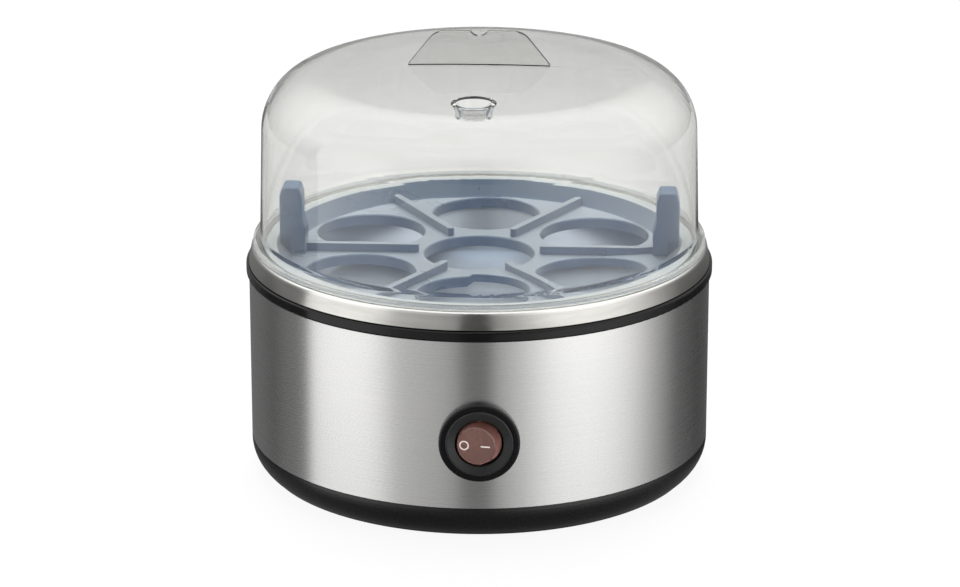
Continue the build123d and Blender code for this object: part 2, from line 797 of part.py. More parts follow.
save(lid, "lid")

# Aluminium heat spreader with a groove for the element
with BuildPart() as heat_spreader:
    with BuildSketch(Plane.XY.offset(spreader_underside)):
        Circle(spreader_radius)
    extrude(amount=spreader_thickness)
    with BuildSketch(Plane.XZ):
        with Locations((element_circle, element_level)):
            Circle(element_radius + run_gap)
    revolve(axis=Axis.Z, mode=Mode.SUBTRACT)
    with BuildSketch(Plane.XY.offset(spreader_underside)):
        with Locations((0, bracket_screw_offset), (0, -bracket_screw_offset)):
            Circle(pilot_radius)
        with Locations((clip_offset, fuse_offset + sleeve_radius + clip_foot / 2)):
            Circle(pilot_radius)
    extrude(amount=bracket_screw_depth + run_gap, mode=Mode.SUBTRACT)
save(heat_spreader, "heat_spreader")

# Tubular element: an open ring whose two ends turn down
ring_end_angle = 90 - element_gap_angle
right_end = Vector(polar(element_circle, ring_end_angle, element_level))
left_end = Vector(polar(element_circle, 180 - ring_end_angle, element_level))
right_run = Vector(-sin(radians(ring_end_angle)), cos(radians(ring_end_angle)), 0)
left_run = Vector(-right_run.X, right_run.Y, 0)
down = Vector(0, 0, -1)
half_bend = radians(45)
right_leg = right_end + (right_run + down) * element_bend
left_leg = left_end + (left_run + down) * element_bend
bend_out = element_bend * sin(half_bend)
bend_down = element_bend * (1 - cos(half_bend))
right_mid = right_end + right_run * bend_out + down * bend_down
left_mid = left_end + left_run * bend_out + down * bend_down
with BuildPart() as heating_element:
    with BuildLine() as element_path:
        Line(left_leg + down * element_leg, left_leg)
        ThreePointArc(left_leg, left_mid, left_end)
        ThreePointArc(left_end, Vector(0, -element_circle, element_level), right_end)
        ThreePointArc(right_end, right_mid, right_leg)
        Line(right_leg, right_leg + down * element_leg)
    with BuildSketch(Plane(origin=left_leg + down * element_leg, z_dir=(0, 0, 1))):
        Circle(element_radius)
    sweep(path=element_path.wires()[0])
save(heating_element, "heating_element")

# Ceramic beads at the tube's ends
with BuildPart() as element_insulators:
    with BuildSketch(Plane.XY.offset(element_leg_end)):
        with Locations((left_leg.X, left_leg.Y), (right_leg.X, right_leg.Y)):
            Circle(insulator_radius)
    extrude(amount=-insulator_length)
save(element_insulators, "element_insulators")

# Terminal tabs under the beads
pin_top = element_leg_end - insulator_length
with BuildPart() as element_pins:
    with BuildSketch(Plane.XY.offset(pin_top)):
        with Locations((left_leg.X, left_leg.Y), (right_leg.X, right_leg.Y)):
            Rectangle(tab_width, tab_thickness)
    extrude(amount=-pin_length)
save(element_pins, "element_pins")

# Studs welded under the pan
with BuildPart() as pan_studs:
    with BuildSketch(Plane.XY.offset(pan_underside)):
        with Locations((stud_offset, 0), (-stud_offset, 0)):
            Circle(stud_flange_radius)
    extrude(amount=-stud_flange)
    with BuildSketch(Plane.XY.offset(pan_underside)):
        with Locations((stud_offset, 0), (-stud_offset, 0)):
            Circle(stud_radius)
    extrude(amount=-stud_length)
save(pan_studs, "pan_studs")

# Cross strap that bears up against the shell's lugs
with BuildPart() as pan_strap:
    with BuildSketch(Plane.XY.offset(strap_top)):
        Rectangle(2 * strap_half_length, strap_width)
        with Locations((stud_offset, 0), (-stud_offset, 0)):
            Circle(stud_radius + fit_gap, mode=Mode.SUBTRACT)
    extrude(amount=-strap_thickness)
save(pan_strap, "pan_strap")

# Earth tag on the right-hand stud
with BuildPart() as earth_terminal:
    with BuildSketch(Plane.XY.offset(strap_underside)):
        with Locations((stud_offset, 0)):
            Circle(earth_tag_radius)
        with Locations((stud_offset, earth_tag_length / 2)):
            Rectangle(earth_tag_width, earth_tag_length)
        with Locations((stud_offset, 0)):
            Circle(stud_radius + fit_gap, mode=Mode.SUBTRACT)
    extrude(amount=-earth_tag)
save(earth_terminal, "earth_terminal")

# Nuts under the strap and the earth tag
with BuildPart() as pan_nuts:
    for place, level in ((stud_offset, strap_underside - earth_tag), (-stud_offset, strap_underside)):
        with BuildSketch(Plane.XY.offset(level)):
            with Locations((place, 0)):
                RegularPolygon(nut_radius, 6)
                Circle(stud_radius + run_gap, mode=Mode.SUBTRACT)
        extrude(amount=-nut_height)
save(pan_nuts, "pan_nuts")

# Disc thermostat against the middle of the spreader
with BuildPart() as thermostat_cap:
    with BuildSketch(Plane.XY.offset(spreader_underside)):
        Circle(cap_radius)
    extrude(amount=-cap_height)
save(thermostat_cap, "thermostat_cap")

tab_level = thermostat_bottom + thermostat_tab_rise
with BuildPart() as thermostat_body:
    with BuildSketch(Plane.XY.offset(cap_bottom)):
        Circle(thermostat_radius)
    extrude(amount=-thermostat_height)
    with BuildSketch(Plane.XY.offset(tab_level - run_gap)):
        for side in (-1, 1):
            with Locations((side * (thermostat_tab_inner - run_gap + cap_radius / 2), 0)):
                Rectangle(cap_radius, thermostat_tab_width + fit_gap)
    extrude(amount=tab_thickness + fit_gap, mode=Mode.SUBTRACT)
save(thermostat_body, "thermostat_body")

with BuildPart() as thermostat_terminals:
    with BuildSketch(Plane.XY.offset(tab_level)):
        for side in (-1, 1):
            with Locations((side * (thermostat_tab_inner + thermostat_tab_outer) / 2, 0)):
                Rectangle(thermostat_tab_outer - thermostat_tab_inner, thermostat_tab_width)
    extrude(amount=tab_thickness)
save(thermostat_terminals, "thermostat_terminals")

# Hat bracket under the thermostat
foot_level = spreader_underside - bracket_thickness
with BuildPart() as thermostat_bracket:
    with BuildSketch(Plane.YZ):
        with BuildLine():
            Polyline((-bracket_foot, spreader_underside), (-hat_outer, spreader_underside),
                     (-hat_outer, thermostat_bottom), (hat_outer, thermostat_bottom),
                     (hat_outer, spreader_underside), (bracket_foot, spreader_underside),
                     (bracket_foot, foot_level), (hat_outer + bracket_thickness, foot_level),
                     (hat_outer + bracket_thickness, thermostat_bottom - bracket_thickness),
                     (-hat_outer - bracket_thickness, thermostat_bottom - bracket_thickness),
                     (-hat_outer - bracket_thickness, foot_level), (-bracket_foot, foot_level), close=True)
        make_face()
    extrude(amount=bracket_width / 2, both=True)
    with BuildSketch(Plane.XY.offset(spreader_underside)):
        with Locations((0, bracket_screw_offset), (0, -bracket_screw_offset)):
            Circle(screw_hole_radius)
    extrude(amount=-bracket_thickness, mode=Mode.SUBTRACT)
save(thermostat_bracket, "thermostat_bracket")

# Thermal fuse in its sleeve, held against the spreader by a clip
fuse_middle = Plane(origin=(0, fuse_offset, fuse_level), z_dir=(1, 0, 0))
with BuildPart() as thermal_fuse:
    with BuildSketch(fuse_middle):
        Circle(fuse_radius)
    extrude(amount=fuse_half_length, both=True)
    with BuildSketch(fuse_middle):
        Circle(fuse_wire_radius)
    extrude(amount=fuse_wire_half, both=True)
save(thermal_fuse, "thermal_fuse")

with BuildPart() as fuse_sleeve:
    with BuildSketch(fuse_middle):
        Circle(sleeve_radius)
        Circle(sleeve_radius - sleeve_wall, mode=Mode.SUBTRACT)
    extrude(amount=sleeve_half, both=True)
save(fuse_sleeve, "fuse_sleeve")

clip_bore = sleeve_radius + run_gap
clip_outer = clip_bore + clip_sheet
clip_foot_end = fuse_offset + sleeve_radius + clip_foot
clip_screw_y = fuse_offset + sleeve_radius + clip_foot / 2
with BuildPart() as fuse_clip:
    with BuildSketch(Plane.YZ.offset(clip_offset)):
        rise = spreader_underside - fuse_level
        with Locations((fuse_offset, fuse_level)):
            Circle(clip_outer)
        with Locations((fuse_offset, fuse_level + rise / 2)):
            Rectangle(2 * clip_outer, rise)
        foot_start = fuse_offset + clip_bore
        with Locations(((foot_start + clip_foot_end) / 2, spreader_underside - clip_sheet / 2)):
            Rectangle(clip_foot_end - foot_start, clip_sheet)
        with Locations((fuse_offset, fuse_level)):
            Circle(clip_bore, mode=Mode.SUBTRACT)
        with Locations((fuse_offset, fuse_level + clip_outer / 2)):
            Rectangle(2 * clip_bore, clip_outer, mode=Mode.SUBTRACT)
    extrude(amount=clip_width / 2, both=True)
    with BuildSketch(Plane.XY.offset(spreader_underside)):
        with Locations((clip_offset, clip_screw_y)):
            Circle(screw_hole_radius)
    extrude(amount=-clip_sheet, mode=Mode.SUBTRACT)
save(fuse_clip, "fuse_clip")

# Three short screws into the spreader: two for the bracket and one for the clip
with BuildPart() as bracket_screws:
    for x, y, sheet in (
            (0, bracket_screw_offset, bracket_thickness), (0, -bracket_screw_offset, bracket_thickness),
            (clip_offset, clip_screw_y, clip_sheet)):
        head_level = spreader_underside - sheet
        with BuildSketch(Plane.XY.offset(head_level)):
            with Locations((x, y)):
                Circle(bracket_head_radius)
        extrude(amount=-bracket_head_height)
        with BuildSketch(Plane.XY.offset(head_level)):
            with Locations((x, y)):
                Circle(screw_radius)
        extrude(amount=sheet + bracket_screw_depth)
        with BuildSketch(Plane.XY.offset(head_level - bracket_head_height)):
            with Locations((x, y)):
                Rectangle(2 * screw_radius, recess_width)
                Rectangle(recess_width, 2 * screw_radius)
        extrude(amount=bracket_head_height / 2, mode=Mode.SUBTRACT)
save(bracket_screws, "bracket_screws")

# Trim ring round the switch, saddled on the band, with a spigot through the wall
with BuildPart() as switch_surround:
    with BuildSketch(switch_section):
        pocket_radius = bezel_radius + fit_gap
        with BuildLine():
            FilletPolyline((pocket_radius, -surround_back), (pocket_radius, surround_front),
                           (surround_radius, surround_front), (surround_radius, -surround_back),
                           radius=(run_gap, surround_round))
            Line((surround_radius, -surround_back), (pocket_radius, -surround_back))
        make_face()
    revolve(axis=switch_axis)
    with BuildSketch(Plane.XY.offset(switch_height)):
        Circle(body_radius + run_gap)
    extrude(amount=2 * surround_radius, both=True, mode=Mode.SUBTRACT)
    with BuildSketch(switch_section):
        with BuildLine():
            spigot_radius = surround_hole - fit_gap
            Polyline((switch_body_radius + fit_gap, -surround_back), (spigot_radius, -surround_back),
                     (spigot_radius, bezel_seat), (switch_body_radius + fit_gap, bezel_seat), close=True)
        make_face()
    revolve(axis=switch_axis)
save(switch_surround, "switch_surround")

# Switch body: bezel with a shallow funnel, round bore, trunnion holes, floor and barbs
cavity_end = pivot_out - cavity_depth
switch_back = cavity_end - switch_floor
with BuildPart() as switch_housing:
    with BuildSketch(switch_section):
        with BuildLine():
            FilletPolyline((0, switch_back), (switch_body_radius, switch_back),
                           (switch_body_radius, bezel_seat), (bezel_radius, bezel_seat),
                           (bezel_radius, bezel_front), (bezel_radius - bezel_lip, bezel_front),
                           (switch_bore, bezel_front - bezel_funnel), (switch_bore, cavity_end),
                           (0, cavity_end), radius=(0, 0, 0, bezel_round, 0, bezel_round, 0))
            Line((0, cavity_end), (0, switch_back))
        make_face()
    revolve(axis=switch_axis)
    with BuildSketch(Plane(origin=rocker_origin, z_dir=(0, 0, 1))):
        Circle(trunnion_radius + run_gap)
    extrude(amount=switch_body_radius, both=True, mode=Mode.SUBTRACT)
    with BuildSketch(switch_section):
        for side in (-1, 1):
            with BuildLine():
                barb_start = -surround_back - fit_gap
                barb_root = switch_body_radius - fit_gap
                Polyline((side * barb_root, barb_start),
                         (side * (switch_body_radius + barb_height), barb_start),
                         (side * barb_root, barb_start - barb_length), close=True)
            make_face()
    extrude(amount=barb_width / 2, both=True)
    with BuildSketch(Plane(origin=switch_origin, x_dir=(1, 0, 0), z_dir=(0, -1, 0)).offset(cavity_end)):
        with GridLocations(switch_tab_pitch, tab_width, 3, 1):
            Rectangle(tab_thickness + fit_gap, tab_width + fit_gap)
    extrude(amount=-switch_floor, mode=Mode.SUBTRACT)
save(switch_housing, "switch_housing")

# Rocker: tapered button on two trunnions, hollowed for the plunger and the lamp
with BuildPart() as rocker:
    with BuildSketch(rocker_section):
        with BuildLine():
            Polyline((0, -rocker_tail), (rocker_tail_radius, -rocker_tail), (rocker_side_radius, 0),
                     (rocker_side_radius, rocker_side_rise),
                     (rocker_face_radius, rocker_face_rise - rocker_edge),
                     (rocker_face_radius - rocker_edge, rocker_face_rise), (0, rocker_face_rise), close=True)
        make_face()
    revolve(axis=rocker_axis)
    with BuildSketch(Plane(origin=rocker_origin, z_dir=(0, 0, 1))):
        Circle(trunnion_radius)
    extrude(amount=trunnion_reach, both=True)
    with BuildSketch(rocker_face_plane.offset(-rocker_tail)):
        Circle(plunger_radius + plunger_bore_gap)
    extrude(amount=rocker_tail - plunger_head + spring_room, mode=Mode.SUBTRACT)
    with BuildSketch(rocker_face_plane.offset(-rocker_tail)):
        with Locations((lamp_offset, 0)):
            Rectangle(lamp_pocket_width, lamp_pocket_length)
    extrude(amount=rocker_tail + lamp_pocket_rise, mode=Mode.SUBTRACT)
    with BuildSketch(rocker_face_plane.offset(rocker_face_rise)):
        with Locations((circle_mark_offset, 0)):
            Circle(circle_mark_radius)
            Circle(circle_mark_radius - mark_stroke, mode=Mode.SUBTRACT)
        with Locations((dash_mark_offset, 0)):
            Rectangle(dash_mark_length, mark_stroke)
    extrude(amount=-mark_depth, mode=Mode.SUBTRACT)
save(rocker, "rocker")

# White inlays: a circle for off and a dash for on
with BuildPart() as rocker_marks:
    with BuildSketch(rocker_face_plane.offset(rocker_face_rise)):
        with Locations((circle_mark_offset, 0)):
            Circle(circle_mark_radius - mark_gap)
            Circle(circle_mark_radius - mark_stroke + mark_gap, mode=Mode.SUBTRACT)
        with Locations((dash_mark_offset, 0)):
            Rectangle(dash_mark_length - 2 * mark_gap, mark_stroke - 2 * mark_gap)
    extrude(amount=-mark_depth)
save(rocker_marks, "rocker_marks")

# Neon lamp in the rocker's pocket
lamp_centre = rocker_face_plane.offset(lamp_rise).origin + rocker_face_plane.x_dir * lamp_offset
with BuildPart() as switch_lamp:
    with BuildSketch(Plane(origin=lamp_centre, z_dir=(0, 0, 1))):
        Circle(lamp_radius)
    extrude(amount=lamp_length / 2, both=True)
save(switch_lamp, "switch_lamp")

# Plunger with a round tip, pushed out by a coil spring
with BuildPart() as rocker_plunger:
    with BuildSketch(rocker_section):
        with BuildLine():
            tip_centre = -plunger_tip + plunger_radius
            Polyline((0, -plunger_tip), (0, -plunger_head), (plunger_radius, -plunger_head),
                     (plunger_radius, tip_centre))
            RadiusArc((plunger_radius, tip_centre), (0, -plunger_tip), plunger_radius)
        make_face()
    revolve(axis=rocker_axis)
save(rocker_plunger, "rocker_plunger")

spring_height = spring_room - 2 * spring_wire - 2 * fit_gap
spring_plane = rocker_face_plane.offset(-plunger_head + spring_wire + fit_gap)
with BuildPart() as plunger_spring:
    with BuildLine() as spring_path:
        spring_line = Helix(spring_pitch, spring_height, spring_radius, center=spring_plane.origin,
                            direction=spring_plane.z_dir)
    with BuildSketch(Plane(origin=spring_line @ 0, z_dir=spring_line % 0)):
        Circle(spring_wire)
    sweep(path=spring_path.wires()[0], is_frenet=True)
save(plunger_spring, "plunger_spring")

# See-saw contact blade, tilted with its right side inwards
with BuildPart() as contact_blade:
    tilt = radians(blade_tilt)
    blade_origin = (0, blade_y, switch_height)
    with BuildSketch(Plane(origin=blade_origin, x_dir=(cos(tilt), sin(tilt), 0), z_dir=(0, 0, 1))):
        Rectangle(blade_length, blade_thickness)
    extrude(amount=blade_width / 2, both=True)
save(contact_blade, "contact_blade")

# Switch blades: middle knife, left fixed contact, right lamp blade
knife_depth = blade_depth + blade_thickness / 2 + blade_play
with BuildPart() as switch_terminals:
    back_plane = Plane(origin=rocker_origin, x_dir=(1, 0, 0), z_dir=(0, 1, 0))
    for place, start in (
            (0, knife_depth), (-switch_tab_pitch, contact_depth), (switch_tab_pitch, lamp_tab_depth)):
        with BuildSketch(back_plane.offset(start)):
            with Locations((place, 0)):
                Rectangle(tab_thickness, tab_width)
        extrude(amount=switch_tab_end - start)
    with BuildSketch(back_plane.offset(contact_depth)):
        with Locations((-switch_tab_pitch, 0)):
            Circle(contact_radius)
    extrude(amount=tab_thickness)
save(switch_terminals, "switch_terminals")

# Cord gland: outer head, neck through the wall, inner flange
with BuildPart() as cord_gland:
    with BuildSketch(gland_section):
        with BuildLine():
            Polyline((gland_bore, -gland_flange_start), (gland_head_radius, -gland_flange_start),
                     (gland_head_radius, gland_edge), (gland_tip_radius, gland_head - gland_edge),
                     (gland_tip_radius - gland_edge, gland_head), (gland_bore, gland_head), close=True)
        make_face()
    revolve(axis=gland_axis)
    with BuildSketch(Plane.XY.offset(gland_height)):
        Circle(body_radius + run_gap)
    extrude(amount=2 * gland_head_radius, both=True, mode=Mode.SUBTRACT)
    with BuildSketch(gland_section):
        with BuildLine():
            flange_end = -gland_flange_start - gland_flange
            Polyline((gland_bore, flange_end), (gland_flange_radius, flange_end),
                     (gland_flange_radius, -gland_flange_start), (gland_neck, -gland_flange_start),
                     (gland_neck, gland_edge), (gland_bore, gland_edge), close=True)
        make_face()
    revolve(axis=gland_axis)
save(cord_gland, "cord_gland")

# Three-way terminal block on the base floor
block_top = tub_floor_top + block_height
block_bore_level = tub_floor_top + block_height / 2
block_front = block_centre - block_depth / 2
with BuildPart() as terminal_block:
    with BuildSketch(Plane.XY.offset(tub_floor_top)):
        with Locations((0, block_centre)):
            Rectangle(block_length, block_depth)
    extrude(amount=block_height)
    with BuildSketch(Plane.XZ.offset(-block_front)):
        with Locations((0, block_bore_level)):
            with GridLocations(block_pitch, block_height, 3, 1):
                Circle(block_bore)
    extrude(amount=-block_depth, mode=Mode.SUBTRACT)
    with BuildSketch(Plane.XY.offset(block_top)):
        with Locations((0, block_centre)):
            with GridLocations(block_pitch, block_depth, 3, 1):
                Circle(block_screw_radius + fit_gap)
    extrude(amount=-block_screw_well, mode=Mode.SUBTRACT)
save(terminal_block, "terminal_block")

with BuildPart() as terminal_screws:
    with BuildSketch(Plane.XY.offset(block_top - block_screw_well)):
        with Locations((0, block_centre)):
            with GridLocations(block_pitch, block_depth, 3, 1):
                Circle(block_screw_radius)
    extrude(amount=block_screw_height)
    with BuildSketch(Plane.XY.offset(block_top - block_screw_well + block_screw_height)):
        with Locations((0, block_centre)):
            with GridLocations(block_pitch, block_depth, 3, 1):
                Rectangle(2 * block_screw_radius, block_slot)
    extrude(amount=-block_slot, mode=Mode.SUBTRACT)
save(terminal_screws, "terminal_screws")


def lead(name, points):
    """Insulated lead: straight runs joined by arcs as large as the runs allow."""
    spots = [Vector(point) for point in points]
    radii = []
    for before, corner, after in zip(spots, spots[1:], spots[2:]):
        run_in = corner - before
        run_out = after - corner
        half_turn = radians(run_in.get_angle(run_out)) / 2
        radii.append(bend_share * min(run_in.length, run_out.length) / tan(half_turn))
    with BuildPart() as wire:
        with BuildLine() as route:
            FilletPolyline(*spots, radius=radii)
        with BuildSketch(Plane(origin=spots[0], z_dir=spots[1] - spots[0])):
            Circle(lead_radius)
        sweep(path=route.wires()[0])
    length = sum(edge.length for edge in route.edges())
    print(name, "length", round(length, 1), "volume ratio",
          round(wire.part.volume / (pi * lead_radius**2 * length), 4), "radii", [round(r, 1) for r in radii])
    save(wire, name)


# Where the leads start and end
fuse_left = (-fuse_wire_half, fuse_offset, fuse_level)
fuse_right = (fuse_wire_half, fuse_offset, fuse_level)
disc_level = tab_level + tab_thickness / 2
disc_left = (-thermostat_tab_outer, 0, disc_level)
disc_right = (thermostat_tab_outer, 0, disc_level)
switch_end = pivot_y + switch_tab_end
pin_face = left_leg.Y - tab_thickness / 2
pin_level = pin_top - pin_length / 2
tag_level = strap_underside - earth_tag / 2
floor_run = tub_floor_top + lead_floor_gap
block_stub = block_front - lead_stub
switch_stub = switch_end + lead_stub

lead("live_lead", (
    (-block_pitch, block_front, block_bore_level), (-block_pitch, block_stub, block_bore_level),
    (-13, 16, floor_run), (-12, -10, floor_run), (-6, -30, floor_run + 4.5), (-1.5, -43, switch_height - 10),
    (0, switch_stub, switch_height), (0, switch_end, switch_height)))
lead("switched_lead", (
    (-switch_tab_pitch, switch_end, switch_height), (-switch_tab_pitch, switch_stub, switch_height),
    (-12, -36, disc_level - 8.4), (-20, -18, disc_level - 3.9), (-25, -5, disc_level - 0.4),
    (-22.5, 0, disc_level), disc_left))
lead("fuse_lead", (
    disc_right, (22, 0, disc_level), (25.5, -7, disc_level + 0.6), (25.5, -16, fuse_level - 1.4),
    (21.8, fuse_offset, fuse_level), fuse_right))
lead("element_lead", (
    fuse_left, (-21.5, fuse_offset, fuse_level), (-28, -19, fuse_level - 3.9), (-32.5, -7, fuse_level - 5.8),
    (-32.5, 7, fuse_level - 6), (-26, 18, pin_level + 7.5), (-14, 25, pin_level + 1),
    (left_leg.X, pin_face - 7.3, pin_level), (left_leg.X, pin_face, pin_level)))
lead("neutral_lead", (
    (-twin_lead_offset, block_front, block_bore_level), (-twin_lead_offset, block_stub, block_bore_level),
    (3, 27, floor_run + 6.5), (8, 22, pin_level - 9.5), (8.5, 24.5, pin_level - 2.5),
    (right_leg.X, pin_face - 6.8, pin_level), (right_leg.X, pin_face, pin_level)))
lead("lamp_lead", (
    (twin_lead_offset, block_front, block_bore_level), (twin_lead_offset, block_stub, block_bore_level),
    (10, 18, floor_run), (13, -8, floor_run), (10, -30, floor_run + 4.5), (7, -43, switch_height - 10),
    (switch_tab_pitch, switch_stub, switch_height), (switch_tab_pitch, switch_end, switch_height)))
lead("earth_lead", (
    (block_pitch, block_front, block_bore_level), (block_pitch, block_stub, block_bore_level),
    (19, 28, floor_run + 1.5), (36, 26, floor_run + 6.5), (50, 28, tag_level - 12.6),
    (stud_offset, earth_tag_length + 10, tag_level), (stud_offset, earth_tag_length, tag_level)))
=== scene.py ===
import bpy
from math import cos, pi, radians, sin
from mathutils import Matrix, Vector


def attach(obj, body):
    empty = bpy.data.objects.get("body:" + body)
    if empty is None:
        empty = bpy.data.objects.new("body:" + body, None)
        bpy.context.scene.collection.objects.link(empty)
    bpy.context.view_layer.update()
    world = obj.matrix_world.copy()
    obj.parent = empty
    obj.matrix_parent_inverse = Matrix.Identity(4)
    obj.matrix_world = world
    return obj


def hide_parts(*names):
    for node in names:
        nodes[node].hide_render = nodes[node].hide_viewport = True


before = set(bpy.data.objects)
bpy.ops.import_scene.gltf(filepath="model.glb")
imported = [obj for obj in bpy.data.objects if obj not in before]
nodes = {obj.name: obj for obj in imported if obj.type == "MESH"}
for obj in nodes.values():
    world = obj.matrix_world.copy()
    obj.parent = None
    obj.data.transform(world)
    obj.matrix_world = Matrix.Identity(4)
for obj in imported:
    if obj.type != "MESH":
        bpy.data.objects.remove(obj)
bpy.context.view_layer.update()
print("frame loaded,", len(nodes), "nodes")

mm = 0.001  # the scene is in metres, and patterns are written in millimetres
noiseRange = {"From Min": 0.3, "From Max": 0.7}  # where most values of a noise lie


# Colours are written as sRGB hex and turned to linear here
def paint(hexColour):
    channels = [int(hexColour[i:i + 2], 16) / 255 for i in (1, 3, 5)]
    linear = [c / 12.92 if c <= 0.04045 else ((c + 0.055) / 1.055) ** 2.4 for c in channels]
    return (*linear, 1.0)


# Adds one node with its settings. An input is a value, a socket to link from, or a node whose first
# output is linked
def addNode(tree, kind, inputs=None, **settings):
    node = tree.nodes.new(kind)
    for name, value in settings.items():
        setattr(node, name, value)
    for key, value in (inputs or {}).items():
        if isinstance(value, bpy.types.Node):
            value = value.outputs[0]
        if isinstance(value, bpy.types.NodeSocket):
            tree.links.new(value, node.inputs[key])
        else:
            node.inputs[key].default_value = value
    return node


def newMaterial(name):
    material = bpy.data.materials.new(name)
    material.use_nodes = True
    material.node_tree.nodes.clear()
    return material, material.node_tree


# Noise in object space, by the size of its grains in millimetres along each axis
def grain(tree, sizes, detail=2.0, rough=0.5):
    place = addNode(tree, "ShaderNodeTexCoord").outputs["Object"]
    stretched = addNode(tree, "ShaderNodeMapping", {
        "Vector": place, "Scale": [1 / (size * mm) for size in sizes]})
    return addNode(tree, "ShaderNodeTexNoise", {
        "Vector": stretched, "Scale": 1.0, "Detail": detail, "Roughness": rough})


# Two shades of a colour, mixed by a pattern
def twoShades(tree, pattern, first, second):
    share = addNode(tree, "ShaderNodeMapRange", {"Value": pattern, **noiseRange})
    return addNode(tree, "ShaderNodeMix", {0: share, 6: paint(first), 7: paint(second)},
                   data_type="RGBA").outputs[2]


# How far a place is from the upright axis
def fromAxis(tree, place):
    level = addNode(tree, "ShaderNodeVectorMath", {0: place, 1: (1, 1, 0)}, operation="MULTIPLY")
    return addNode(tree, "ShaderNodeVectorMath", {0: level}, operation="LENGTH").outputs["Value"]


# One for the rays by which the camera sees a thing, straight, mirrored or through glass, and zero
# for those that only carry light
def seenRays(tree):
    path = addNode(tree, "ShaderNodeLightPath")
    opaque = addNode(tree, "ShaderNodeMath", {
        0: path.outputs["Is Camera Ray"], 1: path.outputs["Is Glossy Ray"]}, operation="MAXIMUM")
    return addNode(tree, "ShaderNodeMath", {
        0: opaque, 1: path.outputs["Is Transmission Ray"]}, operation="MAXIMUM")


# Lets the given rays go straight through a clear plastic, with its tint, so that lamps shine inside
def letThrough(tree, shader, rays, tint):
    straight = addNode(tree, "ShaderNodeBsdfTransparent", {"Color": paint(tint)})
    return addNode(tree, "ShaderNodeMixShader", {0: rays, 1: shader, 2: straight})


# Brushed 304 stainless sheet: the brush lines run round the body, so highlights stretch up and down.
# Real lines are finer than a pixel, so they are drawn 0.4 mm apart
def brushedStainless():
    material, tree = newMaterial("brushed_304_stainless")
    lines = grain(tree, (62.5, 62.5, 0.3846), 3.0, 0.6)
    cloud = grain(tree, (71.43, 71.43, 45.45), 1.0)
    rough = addNode(tree, "ShaderNodeMapRange", {
        "Value": lines, **noiseRange, "To Min": 0.26, "To Max": 0.29})
    relief = addNode(tree, "ShaderNodeBump", {"Height": lines, "Distance": 0.006 * mm, "Strength": 0.13})
    tangent = addNode(tree, "ShaderNodeTangent", direction_type="RADIAL", axis="Z")
    shader = addNode(tree, "ShaderNodeBsdfPrincipled", {
        "Base Color": twoShades(tree, cloud, "#D8D7D6", "#D3D3D2"), "Metallic": 1.0,
        "Roughness": rough, "Anisotropic": 0.75, "Anisotropic Rotation": 0.25,
        "Tangent": tangent, "Normal": relief})
    addNode(tree, "ShaderNodeOutputMaterial", {"Surface": shader})
    return material


# Where the pan's finish changes: from the dish, duller and with a painted blue reflection of the tray, to
# the skirt by the distance from the axis, and from there to the painted highlight of the lid's seat by the
# height
panFinish = {"dishEdge": 0.0765, "skirt": 0.079, "underSeat": 0.0835, "seat": 0.0846, "dishRough": 0.3}


# Polished pressed stainless: nearly a mirror, with wiping marks and faint drawing lines round it,
# duller in the dish, whose bluer colour is a painted reflection of the tray, and with a painted highlight
# in the lighter colour of the lid's seat
def polishedStainless():
    material, tree = newMaterial("polished_pressed_stainless")
    smears = grain(tree, (26.3, 26.3, 3.846), 4.0, 0.62)
    place = addNode(tree, "ShaderNodeTexCoord").outputs["Object"]
    height = addNode(tree, "ShaderNodeSeparateXYZ", {"Vector": place}).outputs["Z"]
    skirt = addNode(tree, "ShaderNodeMapRange", {
        "Value": fromAxis(tree, place), "From Min": panFinish["dishEdge"], "From Max": panFinish["skirt"]})
    seat = addNode(tree, "ShaderNodeMapRange", {
        "Value": height, "From Min": panFinish["underSeat"], "From Max": panFinish["seat"]})
    polish = addNode(tree, "ShaderNodeMapRange", {
        "Value": smears, **noiseRange, "To Min": 0.10, "To Max": 0.20})
    rough = addNode(tree, "ShaderNodeMix", {0: skirt, 2: panFinish["dishRough"], 3: polish})
    # Painted reflection: the dish is coloured bluer, as if it mirrored the blue tray above it
    below = addNode(tree, "ShaderNodeMix", {
        0: skirt, 6: twoShades(tree, smears, "#CED8E5", "#C6D1DF"),
        7: twoShades(tree, smears, "#C3C2BE", "#B4B3AE")}, data_type="RGBA").outputs[2]
    # Painted highlight: the lid's seat is coloured lighter
    colour = addNode(tree, "ShaderNodeMix", {0: seat, 6: below, 7: paint("#DEDDDA")},
                     data_type="RGBA").outputs[2]
    relief = addNode(tree, "ShaderNodeBump", {"Height": smears, "Distance": 0.06 * mm, "Strength": 0.35})
    shader = addNode(tree, "ShaderNodeBsdfPrincipled", {
        "Base Color": colour, "Metallic": 1.0, "Roughness": rough, "Normal": relief})
    addNode(tree, "ShaderNodeOutputMaterial", {"Surface": shader})
    return material


# Moulded ABS or nylon: an even fine grain from the tool, broken by faint flow
def mouldedPlastic(name, hexColour, lightHex, roughness, grainSize=0.5, depth=0.012, shine=0.5):
    material, tree = newMaterial(name)
    pits = grain(tree, (grainSize, grainSize, grainSize))
    flow = grain(tree, (33.33, 33.33, 33.33))
    rough = addNode(tree, "ShaderNodeMapRange", {
        "Value": pits, **noiseRange, "To Min": roughness - 0.05, "To Max": roughness + 0.05})
    relief = addNode(tree, "ShaderNodeBump", {"Height": pits, "Distance": depth * mm, "Strength": 1.0})
    shader = addNode(tree, "ShaderNodeBsdfPrincipled", {
        "Base Color": twoShades(tree, flow, hexColour, lightHex), "Roughness": rough,
        "IOR": 1.5, "Specular IOR Level": shine, "Normal": relief})
    addNode(tree, "ShaderNodeOutputMaterial", {"Surface": shader})
    return material


